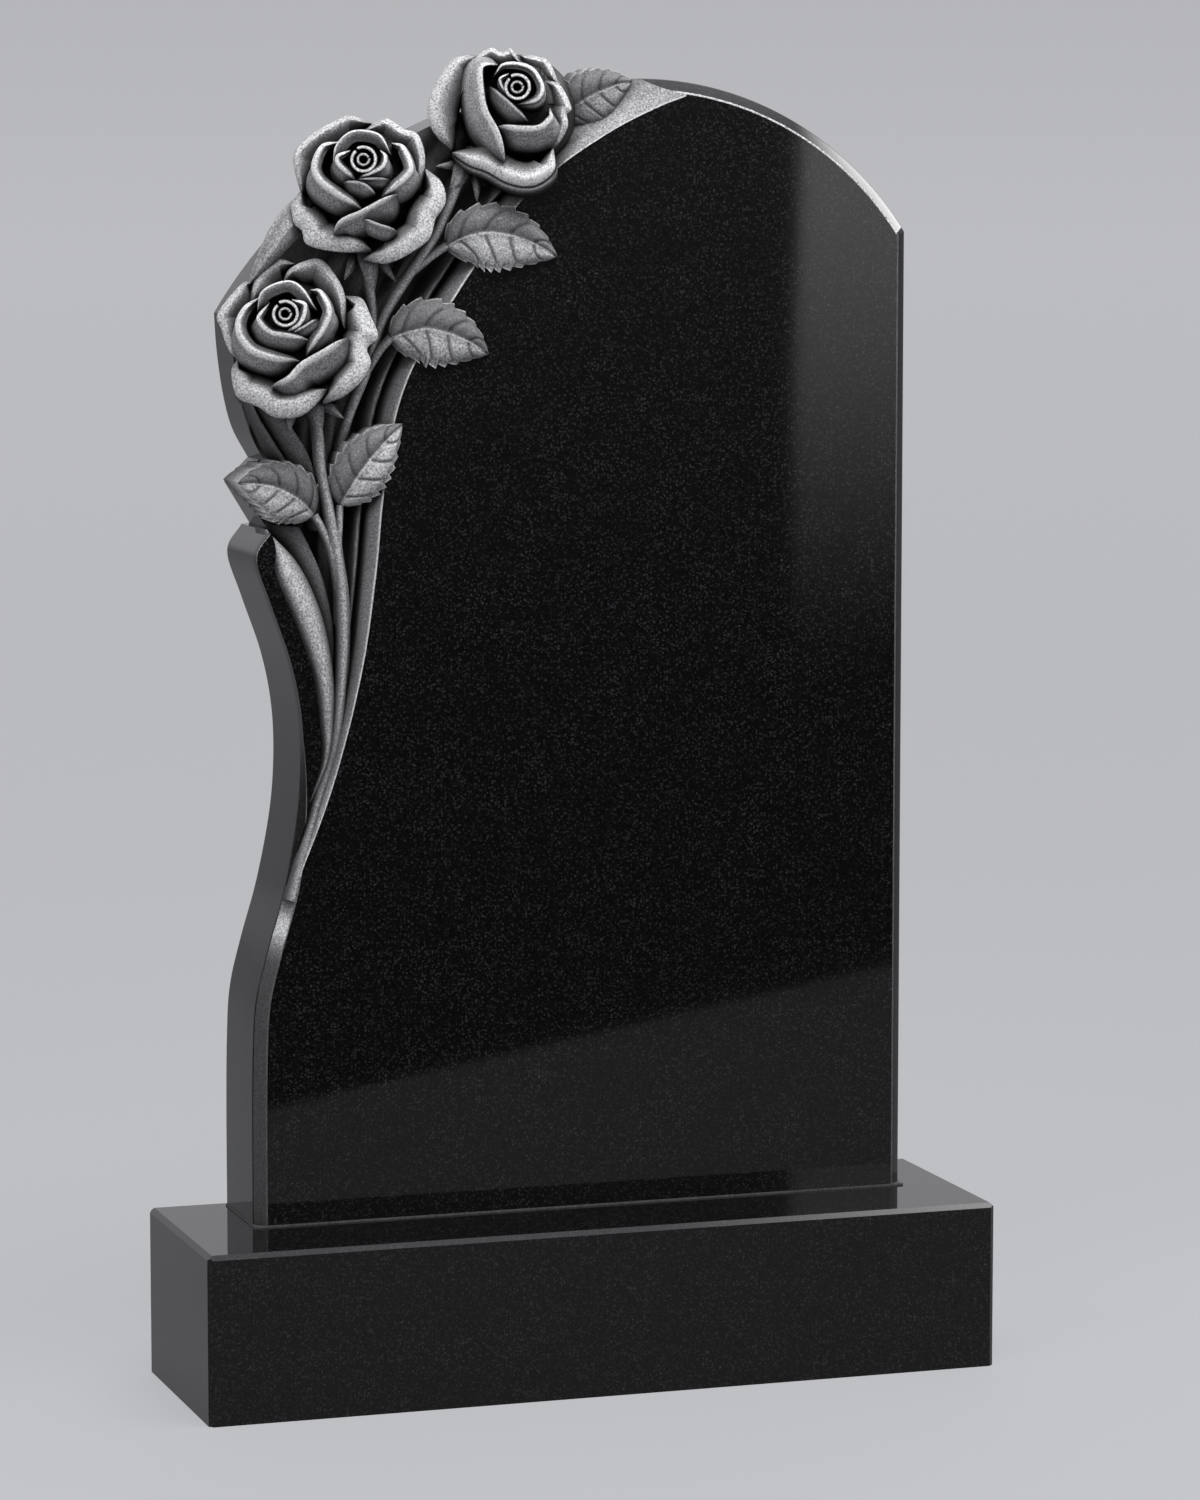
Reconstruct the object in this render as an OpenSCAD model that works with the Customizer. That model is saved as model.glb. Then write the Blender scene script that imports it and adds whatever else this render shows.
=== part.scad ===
// A polished granite headstone: an upright tablet with an arched head stands on a
// plain base block. Down the left side the face is cut back to a carved ground,
// and three roses with stems, sepals and leaves stand on it, all in the one stone.
//
// Origin: the middle of the base block's underside. +X is the viewer's right,
// -Y is the way the face looks, +Z is up. Millimetres.

/* [Tablet] */
// Width of the tablet across its widest part
tablet_w = 604; // [500:2:730]
// Height of the tablet above the base, to the top of its arch
tablet_h = 986; // [800:2:1190]
// Thickness of the tablet
tablet_t = 102; // [84:1:124]
// Width of the bevel round the polished face
bevel = 10; // [5:0.5:14]
// Height of the shoulder on the right, above the base
shoulder_h = 853; // [700:1:900]
// Height of the corner on the left where the carved head begins, above the base
left_corner_h = 785; // [760:1:840]

/* [Base] */
// Height of the base block
base_h = 147; // [100:1:200]
// Ledge of the base in front of the tablet
ledge_front = 100; // [80:1:140]
// Ledge of the base behind the tablet
ledge_back = 14; // [10:1:60]
// Ledge of the base left of the tablet's widest part
ledge_left = 62; // [50:1:100]
// Ledge of the base right of the tablet
ledge_right = 49; // [30:1:100]
// Width of the bevel on the base's edges
arris = 4; // [2:0.5:10]

/* [Carving] */
// Depth of the carved ground behind the polished face
ground_d = 45; // [30:1:60]
// Depth of the flutes that run down the carved ground
flute_d = 5; // [2:0.5:8]
// Radius of a rose over its outermost petals
rose_r = 67; // [52:1:80]
// Height of a rose from its lowest petals to its heart
rose_h = 72; // [58:1:86]
// Thickness of a petal
petal_t = 6; // [4:0.5:9]
// Radius of a rose's stem
stem_r = 5.5; // [4:0.5:8]
// Thickness of a leaf
leaf_t = 10; // [7:0.5:14]
// Length of a sepal under a rose
sepal_l = 24; // [16:1:34]

/* [Hidden] */
base_w = ledge_left + tablet_w + ledge_right;
base_d = ledge_front + tablet_t + ledge_back;
tablet_left = ledge_left - base_w / 2;
face_y = ledge_front - base_d / 2;
// The carved design is drawn on a sheet of this width and height, and is
// stretched with the tablet. Its points are [across, up] or [across, up, out],
// where out is how far a point stands in front of the polished face.
sheet_w = 604;
sheet_h = 986;
// The top of the arch
crown = [358, 986];
// How far the cutter of the ground reaches out in front of the face
out_of_stone = 70;
// How far the outline runs on below the foot before it is cut off flat
below_foot = 30;
// Points between two knots of a curve, points round an arc, sides of a stem
steps = 3;
arch_steps = 14;
tube_sides = 6;
// Beside the carving the bevel dies away over this height, down from this level
bevel_end = 430;
bevel_fade = 130;

// Left edge of the tablet below its carved head, from the top corner down
left_head = [[0, 785], [2, 754], [7, 717], [15, 686], [29, 660]];
leaf_block = [[8, 639], [30, 603]];
left_waist = [[23, 602], [10, 579], [22, 540], [39, 491], [48, 446], [50, 400], [46, 350],
    [34, 290], [19, 238], [9, 196], [6, 150], [5, 80], [5, -below_foot]];
// The edge where the polished face meets the carved ground, from its lower end up
face_edge = [[30, 258], [48, 308], [62, 342], [76, 380], [89, 423], [99, 462], [107, 500],
    [113, 540], [118, 580], [122, 622], [128, 668], [138, 711], [155, 750], [185, 796],
    [212, 835], [245, 879], [282, 911], [317, 934], [346, 950], [375, 963], [397, 971]];
// The far edge of the carved ground, one point for each of those above
ground_edge = [[28, 259], [40, 305], [48, 335], [57, 371], [66, 405], [65, 440], [60, 475],
    [50, 508], [38, 538], [27, 566], [19, 606], [-60, 660], [-60, 720], [-60, 800], [-50, 860],
    [0, 930], [90, 990], [180, 1020], [270, 1030], [345, 1030], [384, 1001]];
// How much of the ground's full depth is cut at each of those points
ground_share = [0, 0.25, 0.45, 0.62, 0.74, 0.82, 0.88, 0.92, 0.96, 1, 1, 1, 1, 1, 1, 1, 1,
    0.95, 0.75, 0.45, 0.02];
flutes = 3;
columns = 10;
// The slope off the face ends at this share of the way across, the ground's own
// hollow starts and ends at the next two, and takes this share of the depth
slope_end = 0.16;
hollow_start = 0.12;
hollow_end = 0.52;
hollow_share = 0.55;
flute_start = 0.2;

// Roses: the middle of each head, and the way it looks: turned to the left, lifted up
roses = [[[47, 774, 0], 26, 20], [[110, 900, 0], 18, 26], [[231, 962, -2], 0, 26]];
// The shares of its height that a rose's heart and its petals' feet reach
heart_share = 0.55;
petal_foot_share = 0.45;
// How far short of the ground's full depth the foot of a rose's heart stops
rose_seat = 5.4;
// Rings of petals: how many, rim radius and rim height as shares of the rose's, turn
petal_rings = [[5, 1.00, 0.50, 20], [4, 0.74, 0.72, 60], [3, 0.44, 0.90, 10]];
petal_rows = 3;
petal_cols = 4;

// Leaves: [base, bend, tip, half width, how far the stone under it reaches back]
leaves = [
    [[62, 616, -4], [34, 642, 4], [-11, 645, -10], 25, 60],
    [[87, 622, -6], [98, 660, 8], [138, 691, 4], 27, 20],
    [[131, 766, 2], [168, 778, 14], [215, 751, 6], 32, 12],
    [[181, 844, 0], [228, 862, 14], [277, 834, 6], 32, 12],
    [[284, 952, -14], [316, 976, -4], [349, 983, -12], 24, 20]];
leaf_rows = 7;
leaf_fold = 0.22;

// Stems and leaf stalks: [radius as a share of the stem's, points from the top down]
stalks = [
    [1, [[50, 716, -28], [66, 690, -14], [71, 650, -8], [79, 600, -8], [86, 556, -9], [88, 505, -11],
        [86, 455, -13], [78, 405, -13], [66, 368, -11], [53, 330, -8], [38, 284, -4]]],
    [0.9, [[212, 925, -30], [191, 891, -12], [172, 854, -8], [148, 819, -8], [131, 790, -10],
        [118, 756, -12], [105, 718, -15], [93, 680, -20], [85, 636, -24], [86, 590, -20],
        [92, 540, -18], [92, 480, -20], [84, 420, -18]]],
    [0.8, [[110, 850, -32], [113, 822, -16], [117, 790, -12], [118, 750, -14]]],
    [0.7, [[62, 616, -8], [72, 600, -8], [80, 578, -9], [84, 540, -12]]],
    [0.7, [[87, 622, -10], [84, 600, -9], [85, 570, -10], [84, 530, -14]]],
    [0.7, [[131, 766, -2], [122, 755, -8], [114, 738, -14]]],
    [0.7, [[181, 844, -3], [166, 834, -6], [148, 818, -10]]]];

// The long blade that rises beside the stems: its two edges from the top down
blade_left = [[21, 600], [25, 568], [40, 532], [52, 500], [61, 468], [65, 436], [65, 405], [57, 371]];
blade_right = [[24, 602], [44, 575], [59, 546], [70, 514], [77, 480], [79, 450], [76, 410], [62, 372]];
blade_out = -4;
blade_crown = 7;
blade_t = 40;

// A point of the design, set on the tablet
function place(p, out = 0) = [tablet_left + p[0] * tablet_w / sheet_w,
    face_y - (len(p) > 2 ? p[2] : out), base_h + p[1] * tablet_h / sheet_h];

// A smooth curve through a list of points
function knot(a, b, c, d, t) = b + t * (c - a) / 2 + t * t * (a - 2.5 * b + 2 * c - d / 2)
    + t * t * t * (-a + 3 * b - 3 * c + d) / 2;
function smooth_line(p, n = steps) = [for (i = [0:len(p) - 2], k = [0:n - 1])
    knot(p[max(i - 1, 0)], p[i], p[i + 1], p[min(i + 2, len(p) - 1)], k / n), p[len(p) - 1]];

// An arc from a shoulder point up to the crown, where it is level
function arch(shoulder, n = arch_steps) = let(run = shoulder[0] - crown[0], rise = crown[1] - shoulder[1],
    r = (run * run + rise * rise) / (2 * rise), reach = asin(run / r))
    [for (i = [0:n]) let(turn = reach * (1 - i / n)) crown + r * [sin(turn), cos(turn) - 1]];

// Outline of the tablet, from its lower right corner, anticlockwise
right_shoulder = [sheet_w, shoulder_h];
left_corner = [0, left_corner_h];
outline = concat([[sheet_w, -below_foot]], arch(right_shoulder),
    [for (i = [1:arch_steps]) arch(left_corner)[arch_steps - i]],
    [for (i = [1:len(left_head) - 1]) left_head[i]], leaf_block, smooth_line(left_waist));

// Width of the bevel at a height: none beside the carved ground, full below it
function bevel_share(p) = p[0] > sheet_w / 2 ? 1 : max(0, min(1, (bevel_end - p[1]) / bevel_fade));
// The outline moved inwards by the bevel, a little further at a sharp corner
function unit(v) = v / norm(v);
function inset(p, i) = let(n = len(p), ahead = unit(p[(i + 1) % n] - p[i]),
    behind = unit(p[i] - p[(i + n - 1) % n]), side = unit(ahead + behind))
    p[i] + [-side[1], side[0]] * bevel * bevel_share(p[i]) / max(0.5, ahead * side);

// Faces between rings of points, each ring with n points and closed round
function ring_faces(rings, n) = [for (r = [0:rings - 2], i = [0:n - 1], half = [0, 1])
    let(a = r * n + i, b = r * n + (i + 1) % n) half == 0 ? [a, b, a + n] : [b, b + n, a + n]];

// A solid through closed rings of points, with its two ends capped
module loft(rings) {
    n = len(rings[0]);
    polyhedron(points = [for (ring = rings, p = ring) p], faces = concat(ring_faces(len(rings), n),
        [[for (i = [0:n - 1]) n - 1 - i]], [[for (i = [0:n - 1]) (len(rings) - 1) * n + i]]), convexity = 8);
}

// A thick skin between a front and a back grid of points with the same rows
module skin(front, back) {
    loft([for (i = [0:len(front) - 1]) concat(front[i], [for (k = [len(back[i]) - 1:-1:0]) back[i][k]])]);
}

module slab() {
    face = [for (i = [0:len(outline) - 1]) inset(outline, i)];
    intersection() {
        loft([[for (p = face) place(p)], [for (p = outline) place(p, -bevel)],
            [for (p = outline) place(p, -tablet_t)]]);
        // The foot is sawn flat where it stands on the base
        translate([tablet_left - bevel, face_y - bevel, base_h])
            cube([tablet_w + 2 * bevel, tablet_t + 2 * bevel, tablet_h + bevel]);
    }
}

// Depth of the carved ground, from the face's edge (0) across to the far edge (1):
// a hollow slope off the face, then shallow flutes
function slope(x) = let(t = max(0, min(1, x))) t * t * (3 - 2 * t);
function ground_depth(across, share) = share
    * (ground_d * ((1 - hollow_share) * slope(across / slope_end)
        + hollow_share * slope((across - hollow_start) / (hollow_end - hollow_start)))
    - flute_d * slope(across / flute_start) * (1 + cos(360 * flutes * across)) / 2);

module ground_cutter() {
    near = smooth_line(face_edge, 2);
    far = smooth_line(ground_edge, 2);
    share = smooth_line(ground_share, 2);
    floor_rows = [for (i = [0:len(near) - 1]) [for (k = [0:columns]) let(c = k / columns)
        place(near[i] + (far[i] - near[i]) * c, -ground_depth(c, max(0, share[i])))]];
    open_rows = [for (i = [0:len(near) - 1]) [for (k = [0:columns]) let(c = k / columns)
        place(near[i] + (far[i] - near[i]) * c, out_of_stone)]];
    skin(open_rows, floor_rows);
}

// One petal, in the rose's own frame: it rises from the heart, swells outwards and
// rolls out at its rim. Row s runs from its foot (0) to its rim (1), column a across
// it from -1 to 1. The wall leans out fast at the foot and again at the lip, which
// turns down, and the petal's sides are lower than its middle.
module petal(turn, half, rim_r, rim_h) {
    foot_h = -petal_foot_share * rose_h;
    function fall(a) = 1 - 0.16 * pow(abs(a), 3);
    function radius(s, a) = rim_r * (0.30 + 0.62 * pow(s, 0.6) + 0.08 * pow(s, 6)) + 4 * a;
    function lift(s, a) = foot_h + (rim_h - foot_h) * s * fall(a) - 4 * pow(s, 6);
    function side(s, a) = turn + half * a * (0.7 + 0.3 * s);
    function wall(s, a, t) = let(r = radius(s, a) - 0.75 * t, w = side(s, a))
        [r * cos(w), r * sin(w), lift(s, a) + 0.6 * t];
    rows = [for (i = [0:petal_rows]) i / petal_rows];
    cols = [for (k = [0:petal_cols]) 2 * k / petal_cols - 1];
    skin([for (s = rows) [for (a = cols) wall(s, a, petal_t)]],
        [for (s = rows) [for (a = cols) wall(s, a, 0)]]);
}

module rose() {
    core_h = heart_share * rose_h;
    core_foot = max(core_h, ground_d - rose_seat);
    for (ring = petal_rings, i = [0:ring[0] - 1])
        petal(ring[3] + 360 * i / ring[0], 215 / ring[0], rose_r * ring[1], core_h * (2 * ring[2] - 1));
    // The solid heart that the petals grow from
    rotate_extrude($fn = 10)
        polygon([[0, -core_foot], [0.45 * rose_r, -core_foot], [0.5 * rose_r, -0.2 * core_h],
            [0.28 * rose_r, 0.45 * core_h], [0.1 * rose_r, 0.9 * core_h], [0, 0.95 * core_h]]);
    // Sepals, which show below the lowest petals
    for (i = [0:3]) rotate([0, 0, 225 + 30 * i]) hull() {
        translate([0.42 * rose_r, 0, -0.5 * rose_h]) sphere(r = 6, $fn = 6);
        translate([0.5 * rose_r + sepal_l, 0, -0.36 * rose_h]) sphere(r = 1.5, $fn = 6);
    }
}

module rose_heads() {
    for (r = roses) translate(place(r[0]))
        rotate([0, 0, -r[1]]) rotate([90 - r[2], 0, 0]) rose();
}

// A leaf: two halves folded along the midrib, widest a little before the middle,
// with a toothed edge
module leaf(base, bend, tip, half, under) {
    through_bend = 2 * bend - base / 2 - tip / 2;
    function spine(t) = (1 - t) * (1 - t) * base + 2 * t * (1 - t) * through_bend + t * t * tip;
    function width(t) = half * pow(sin(180 * pow(t, 0.8)), 0.75) + 1;
    function across(t) = let(d = spine(min(1, t + 0.05)) - spine(max(0, t - 0.05))) unit([-d[1], d[0]]);
    function on_leaf(t, q) = let(p = spine(t), w = across(t) * width(t) * q)
        [p[0] + w[0], p[1] + w[1], p[2] - leaf_fold * half * abs(q) * (0.4 + 0.6 * abs(q))];
    function behind(p) = place([p[0], p[1], min(p[2] - leaf_t, -under)]);
    cols = [-1, -0.5, 0, 0.5, 1];
    rows = [for (i = [0:leaf_rows]) i / leaf_rows];
    skin([for (t = rows) [for (q = cols) place(on_leaf(t, q))]],
        [for (t = rows) [for (q = cols) behind(on_leaf(t, q * 0.9))]]);
}

// A round stem swept along its points
module stalk(share, points) {
    p = [for (q = points) place(q)];
    n = len(p);
    loft([for (i = [0:n - 1]) let(d = unit(p[min(i + 1, n - 1)] - p[max(i - 1, 0)]),
        sideways = unit(cross(d, [0, -1, 0])), outwards = cross(sideways, d))
        [for (k = [0:tube_sides - 1]) let(w = 360 * k / tube_sides)
            p[i] + stem_r * share * (cos(w) * sideways + sin(w) * outwards)]]);
}

module blade() {
    left = smooth_line(blade_left, 2);
    right = smooth_line(blade_right, 2);
    cols = [0, 0.25, 0.5, 0.75, 1];
    function between(i, c) = left[i] + (right[i] - left[i]) * c;
    skin([for (i = [0:len(left) - 1]) [for (c = cols)
            place(between(i, c), blade_out - blade_crown * (1 - sin(180 * c)))]],
        [for (i = [0:len(left) - 1]) [for (c = cols) place(between(i, c), -blade_t)]]);
}

module tablet() {
    color("#2b2c2e") union() {
        difference() {
            slab();
            ground_cutter();
        }
        blade();
        rose_heads();
        for (l = leaves) leaf(l[0], l[1], l[2], l[3], l[4]);
        for (s = stalks) stalk(s[0], s[1]);
    }
}

// A block with a bevel on its upper edges and upright corners
module base() {
    function cut_corners(w, h, b) = [[-w / 2, 0], [w / 2, 0], [w / 2, h - b], [w / 2 - b, h],
        [b - w / 2, h], [-w / 2, h - b]];
    plan = [for (p = cut_corners(base_w, base_d, arris)) [p[0], p[1] - base_d / 2]];
    color("#1f2022") intersection() {
        linear_extrude(base_h) intersection() {
            polygon(plan);
            mirror([0, 1]) polygon(plan);
        }
        translate([0, base_d, 0]) rotate([90, 0, 0]) linear_extrude(2 * base_d)
            polygon(cut_corners(base_w, base_h, arris));
        translate([-base_w, 0, 0]) rotate([90, 0, 90]) linear_extrude(2 * base_w)
            polygon(cut_corners(base_d, base_h, arris));
    }
}

tablet();
base();
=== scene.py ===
from math import radians

import bmesh
import bpy
import numpy as np
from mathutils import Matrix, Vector


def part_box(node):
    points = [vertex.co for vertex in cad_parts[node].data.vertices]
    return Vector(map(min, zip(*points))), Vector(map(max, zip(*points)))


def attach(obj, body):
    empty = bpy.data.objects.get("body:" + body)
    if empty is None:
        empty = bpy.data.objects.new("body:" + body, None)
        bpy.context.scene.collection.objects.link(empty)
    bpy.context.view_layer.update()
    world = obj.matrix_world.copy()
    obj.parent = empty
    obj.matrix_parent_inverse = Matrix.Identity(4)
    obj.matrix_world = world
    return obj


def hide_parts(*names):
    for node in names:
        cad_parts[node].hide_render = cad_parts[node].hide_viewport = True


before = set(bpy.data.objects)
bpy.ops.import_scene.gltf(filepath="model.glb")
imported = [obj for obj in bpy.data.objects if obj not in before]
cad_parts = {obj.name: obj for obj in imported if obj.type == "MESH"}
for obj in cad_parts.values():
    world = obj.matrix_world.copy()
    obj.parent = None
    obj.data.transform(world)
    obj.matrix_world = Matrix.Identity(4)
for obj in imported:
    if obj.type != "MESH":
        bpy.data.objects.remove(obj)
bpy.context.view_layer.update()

# The finish of a polished black granite headstone: an upright tablet whose left side is cut
# back to a carved ground with three roses, and the plain base block under it.
# The carving is worked out in millimetres on the tablet's own sheet: across from its left
# side, up from its foot, and out in front of the polished face. place() sets it in the frame.

MM = 0.001
tablet_w, tablet_h, tablet_t = 604.0, 986.0, 102.0
bevel = 10.0
base_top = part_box("base")[1][2]
right_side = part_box("tablet")[1][0]
back_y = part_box("tablet")[1][1]
left_side = right_side - tablet_w * MM
face_y = back_y - tablet_t * MM


# ---------------------------------------------------------------- what every section uses

def mesh_object(name, verts, faces):
    """A mesh object at the origin from arrays of points and of corner numbers."""
    mesh = bpy.data.meshes.new(name)
    mesh.from_pydata(np.asarray(verts, float).tolist(), [], faces)
    mesh.update()
    obj = bpy.data.objects.new(name, mesh)
    bpy.context.collection.objects.link(obj)
    return obj


def new_material(name):
    """A material with nodes, its node tree and its main shader."""
    material = bpy.data.materials.new(name)
    material.use_nodes = True
    tree = material.node_tree
    return material, tree, tree.nodes["Principled BSDF"]


def ranged(tree, value, start, end, smooth=True):
    """A node's value carried to another range. The start and the end each give a value that
    goes in and the value that comes out for it; beyond them the outcome stays level."""
    node = tree.nodes.new("ShaderNodeMapRange")
    node.interpolation_type = "SMOOTHSTEP" if smooth else "LINEAR"
    node.inputs["From Min"].default_value, node.inputs["To Min"].default_value = start
    node.inputs["From Max"].default_value, node.inputs["To Max"].default_value = end
    tree.links.new(value, node.inputs["Value"])
    return node.outputs[0]


def maths(tree, operation, a, b):
    """A sum of two values, each of them a number or another node's outcome."""
    node = tree.nodes.new("ShaderNodeMath")
    node.operation = operation
    for socket, value in zip(node.inputs, (a, b)):
        if isinstance(value, float):
            socket.default_value = value
        else:
            tree.links.new(value, socket)
    return node.outputs[0]


# ---------------------------------------------------------------- camera, lights and floor

def add_camera():
    """The camera stands in front and to the left, and looks slightly down."""
    looks_down, turned_right = 6.73, 18.26
    data = bpy.data.cameras.new("camera")
    data.lens = 124.48
    data.sensor_fit = "VERTICAL"
    data.sensor_width = data.sensor_height = 36.0
    data.dof.use_dof = False
    camera = bpy.data.objects.new("camera", data)
    bpy.context.collection.objects.link(camera)
    camera.location = (-1.3866, -4.2788, 1.082)
    camera.rotation_euler = (radians(90 - looks_down), 0, radians(-turned_right))
    bpy.context.scene.camera = camera


def add_light(name, position, target, size, power):
    """A rectangular soft light of the given width and height, in metres, aimed at a point."""
    data = bpy.data.lights.new(name, "AREA")
    data.shape = "RECTANGLE"
    data.size, data.size_y = size
    data.energy = power
    light = bpy.data.objects.new(name, data)
    bpy.context.collection.objects.link(light)
    light.location = position
    light.visible_camera = light.visible_glossy = False
    aim = Vector(target) - Vector(position)
    light.rotation_euler = aim.to_track_quat("-Z", "Y").to_euler()


def add_floor():
    """A wide pale floor in two parts. The near part shows in the polished stone; its front
    edge runs aslant, so that the stone reflects it only low down."""
    edge_left, edge_right = np.array([0.05, -1.29]), np.array([1.10, -2.03])
    reach = 40.0
    glow_on_stone, glow_in_view = 0.2, 0.430
    material, tree, shader = new_material("pale studio floor")
    shader.inputs["Base Color"].default_value = (0.10, 0.102, 0.107, 1)
    shader.inputs["Roughness"].default_value = 0.7
    shader.inputs["Specular IOR Level"].default_value = 0.1
    shader.inputs["Emission Color"].default_value = (0.955, 0.96, 1.0, 1)
    in_view = tree.nodes.new("ShaderNodeLightPath").outputs["Is Camera Ray"]
    glow = ranged(tree, in_view, (0, glow_on_stone), (1, glow_in_view), smooth=False)
    tree.links.new(glow, shader.inputs["Emission Strength"])
    along = (edge_right - edge_left) / np.linalg.norm(edge_right - edge_left)
    ahead = np.array([along[1], -along[0]])
    sheets = {"studio_floor_near": (-reach, 0.0), "studio_floor_front": (0.0, reach)}
    for name, (back, front) in sheets.items():
        corners = [edge_left + along * side + ahead * out for side, out in
                   [(-reach, front), (reach, front), (reach, back), (-reach, back)]]
        floor = mesh_object(name, [(*c, 0.0) for c in corners], [(0, 1, 2, 3)])
        floor.data.materials.append(material)
        floor.visible_glossy = name == "studio_floor_near"


def add_card(name, middle, across, up, strength, fade_across, fade_up):
    """A glowing card that shows only as a reflection in the polished stone. Across and up
    lead from its middle to two of its edges. The glow starts from nothing at the other two
    edges, and is full at the given distances from them, in metres."""
    middle, across, up = (np.asarray(v, float) for v in (middle, across, up))
    corners = [middle - across - up, middle + across - up,
               middle + across + up, middle - across + up]
    card = mesh_object(name, corners, [(0, 1, 2, 3)])
    wide, tall = 2 * np.linalg.norm(across), 2 * np.linalg.norm(up)
    uv = card.data.uv_layers.new(name="card")
    uv.data.foreach_set("uv", np.array([0, 0, wide, 0, wide, tall, 0, tall], np.float32))
    material, tree, shader = new_material(name)
    nodes, links = tree.nodes, tree.links
    nodes.remove(shader)
    where, parts = nodes.new("ShaderNodeUVMap"), nodes.new("ShaderNodeSeparateXYZ")
    links.new(where.outputs[0], parts.inputs[0])
    rise_across = ranged(tree, parts.outputs["X"], (0, 0), (fade_across, 1))
    rise_up = ranged(tree, parts.outputs["Y"], (0, 0), (fade_up, strength))
    glow, clear = nodes.new("ShaderNodeEmission"), nodes.new("ShaderNodeBsdfTransparent")
    links.new(maths(tree, "MULTIPLY", rise_across, rise_up), glow.inputs["Strength"])
    both = nodes.new("ShaderNodeAddShader")
    links.new(glow.outputs[0], both.inputs[0])
    links.new(clear.outputs[0], both.inputs[1])
    links.new(both.outputs[0], nodes["Material Output"].inputs["Surface"])
    card.data.materials.append(material)
    card.visible_camera = card.visible_diffuse = card.visible_shadow = False


def add_world():
    """The room: pale where the camera sees it, an even soft light on the stone's rough
    parts, and in the polish pale behind the stone and overhead and nearly dark in front."""
    world = bpy.data.worlds.new("studio")
    bpy.context.scene.world = world
    world.use_nodes = True
    tree = world.node_tree
    nodes, links = tree.nodes, tree.links
    where, parts = nodes.new("ShaderNodeTexCoord"), nodes.new("ShaderNodeSeparateXYZ")
    links.new(where.outputs["Generated"], parts.inputs[0])
    backwards, upwards = parts.outputs["Y"], parts.outputs["Z"]
    # How strong the glow is, from one share of a direction that points that way to another.
    behind = ranged(tree, backwards, (-0.2, 0.0), (0.35, 0.5))
    rising = ranged(tree, upwards, (-0.02, 0.6), (0.12, 1.25), smooth=False)
    above = ranged(tree, upwards, (-0.12, 0.05), (0.12, 0.3))
    zenith = ranged(tree, upwards, (0.35, 0.0), (0.95, 1.9))
    haze = ranged(tree, upwards, (-0.025, 0.534), (0.026, 0.492), smooth=False)
    around = maths(tree, "MAXIMUM", maths(tree, "MULTIPLY", behind, rising), above)
    in_polish = maths(tree, "MAXIMUM", around, zenith)
    path = nodes.new("ShaderNodeLightPath")
    on_stone, in_view = nodes.new("ShaderNodeMix"), nodes.new("ShaderNodeMix")
    links.new(path.outputs["Is Glossy Ray"], on_stone.inputs["Factor"])
    on_stone.inputs["A"].default_value = 0.30
    links.new(in_polish, on_stone.inputs["B"])
    links.new(path.outputs["Is Camera Ray"], in_view.inputs["Factor"])
    links.new(on_stone.outputs["Result"], in_view.inputs["A"])
    links.new(haze, in_view.inputs["B"])
    background = nodes["Background"]
    background.inputs["Color"].default_value = (0.95, 0.955, 1.0, 1)
    links.new(in_view.outputs["Result"], background.inputs["Strength"])


def add_studio():
    """Floor, room, soft lights, and the three cards that the polish reflects."""
    add_floor()
    add_world()
    add_light("overhead", (0.3, -1.2, 3.1), target=(0, -0.5, 0), size=(2.8, 1.2), power=95)
    add_light("left_key", (-3.4, -2.6, 2.6), target=(0, 0, 0.8), size=(1.6, 1.6), power=60)
    add_card("tall_card", (1.86, -3.0, 1.15), across=(0.55, 0, 0), up=(0, 0, 0.9),
             strength=2.3, fade_across=0.03, fade_up=1.0)
    add_card("side_card", (3.0, 0.3, 3.0), across=(0, 1.2, 0), up=(-0.7, 0, -1.4),
             strength=8.0, fade_across=0.5, fade_up=2.2)
    add_card("top_card", (1.9, -0.62, 3.1), across=(0.9, 0, 0), up=(0, 0.27, 0),
             strength=9.0, fade_across=0.9, fade_up=0.05)
    bpy.context.scene.view_settings.view_transform = "Standard"


# ---------------------------------------------------------------- finishes

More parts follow.
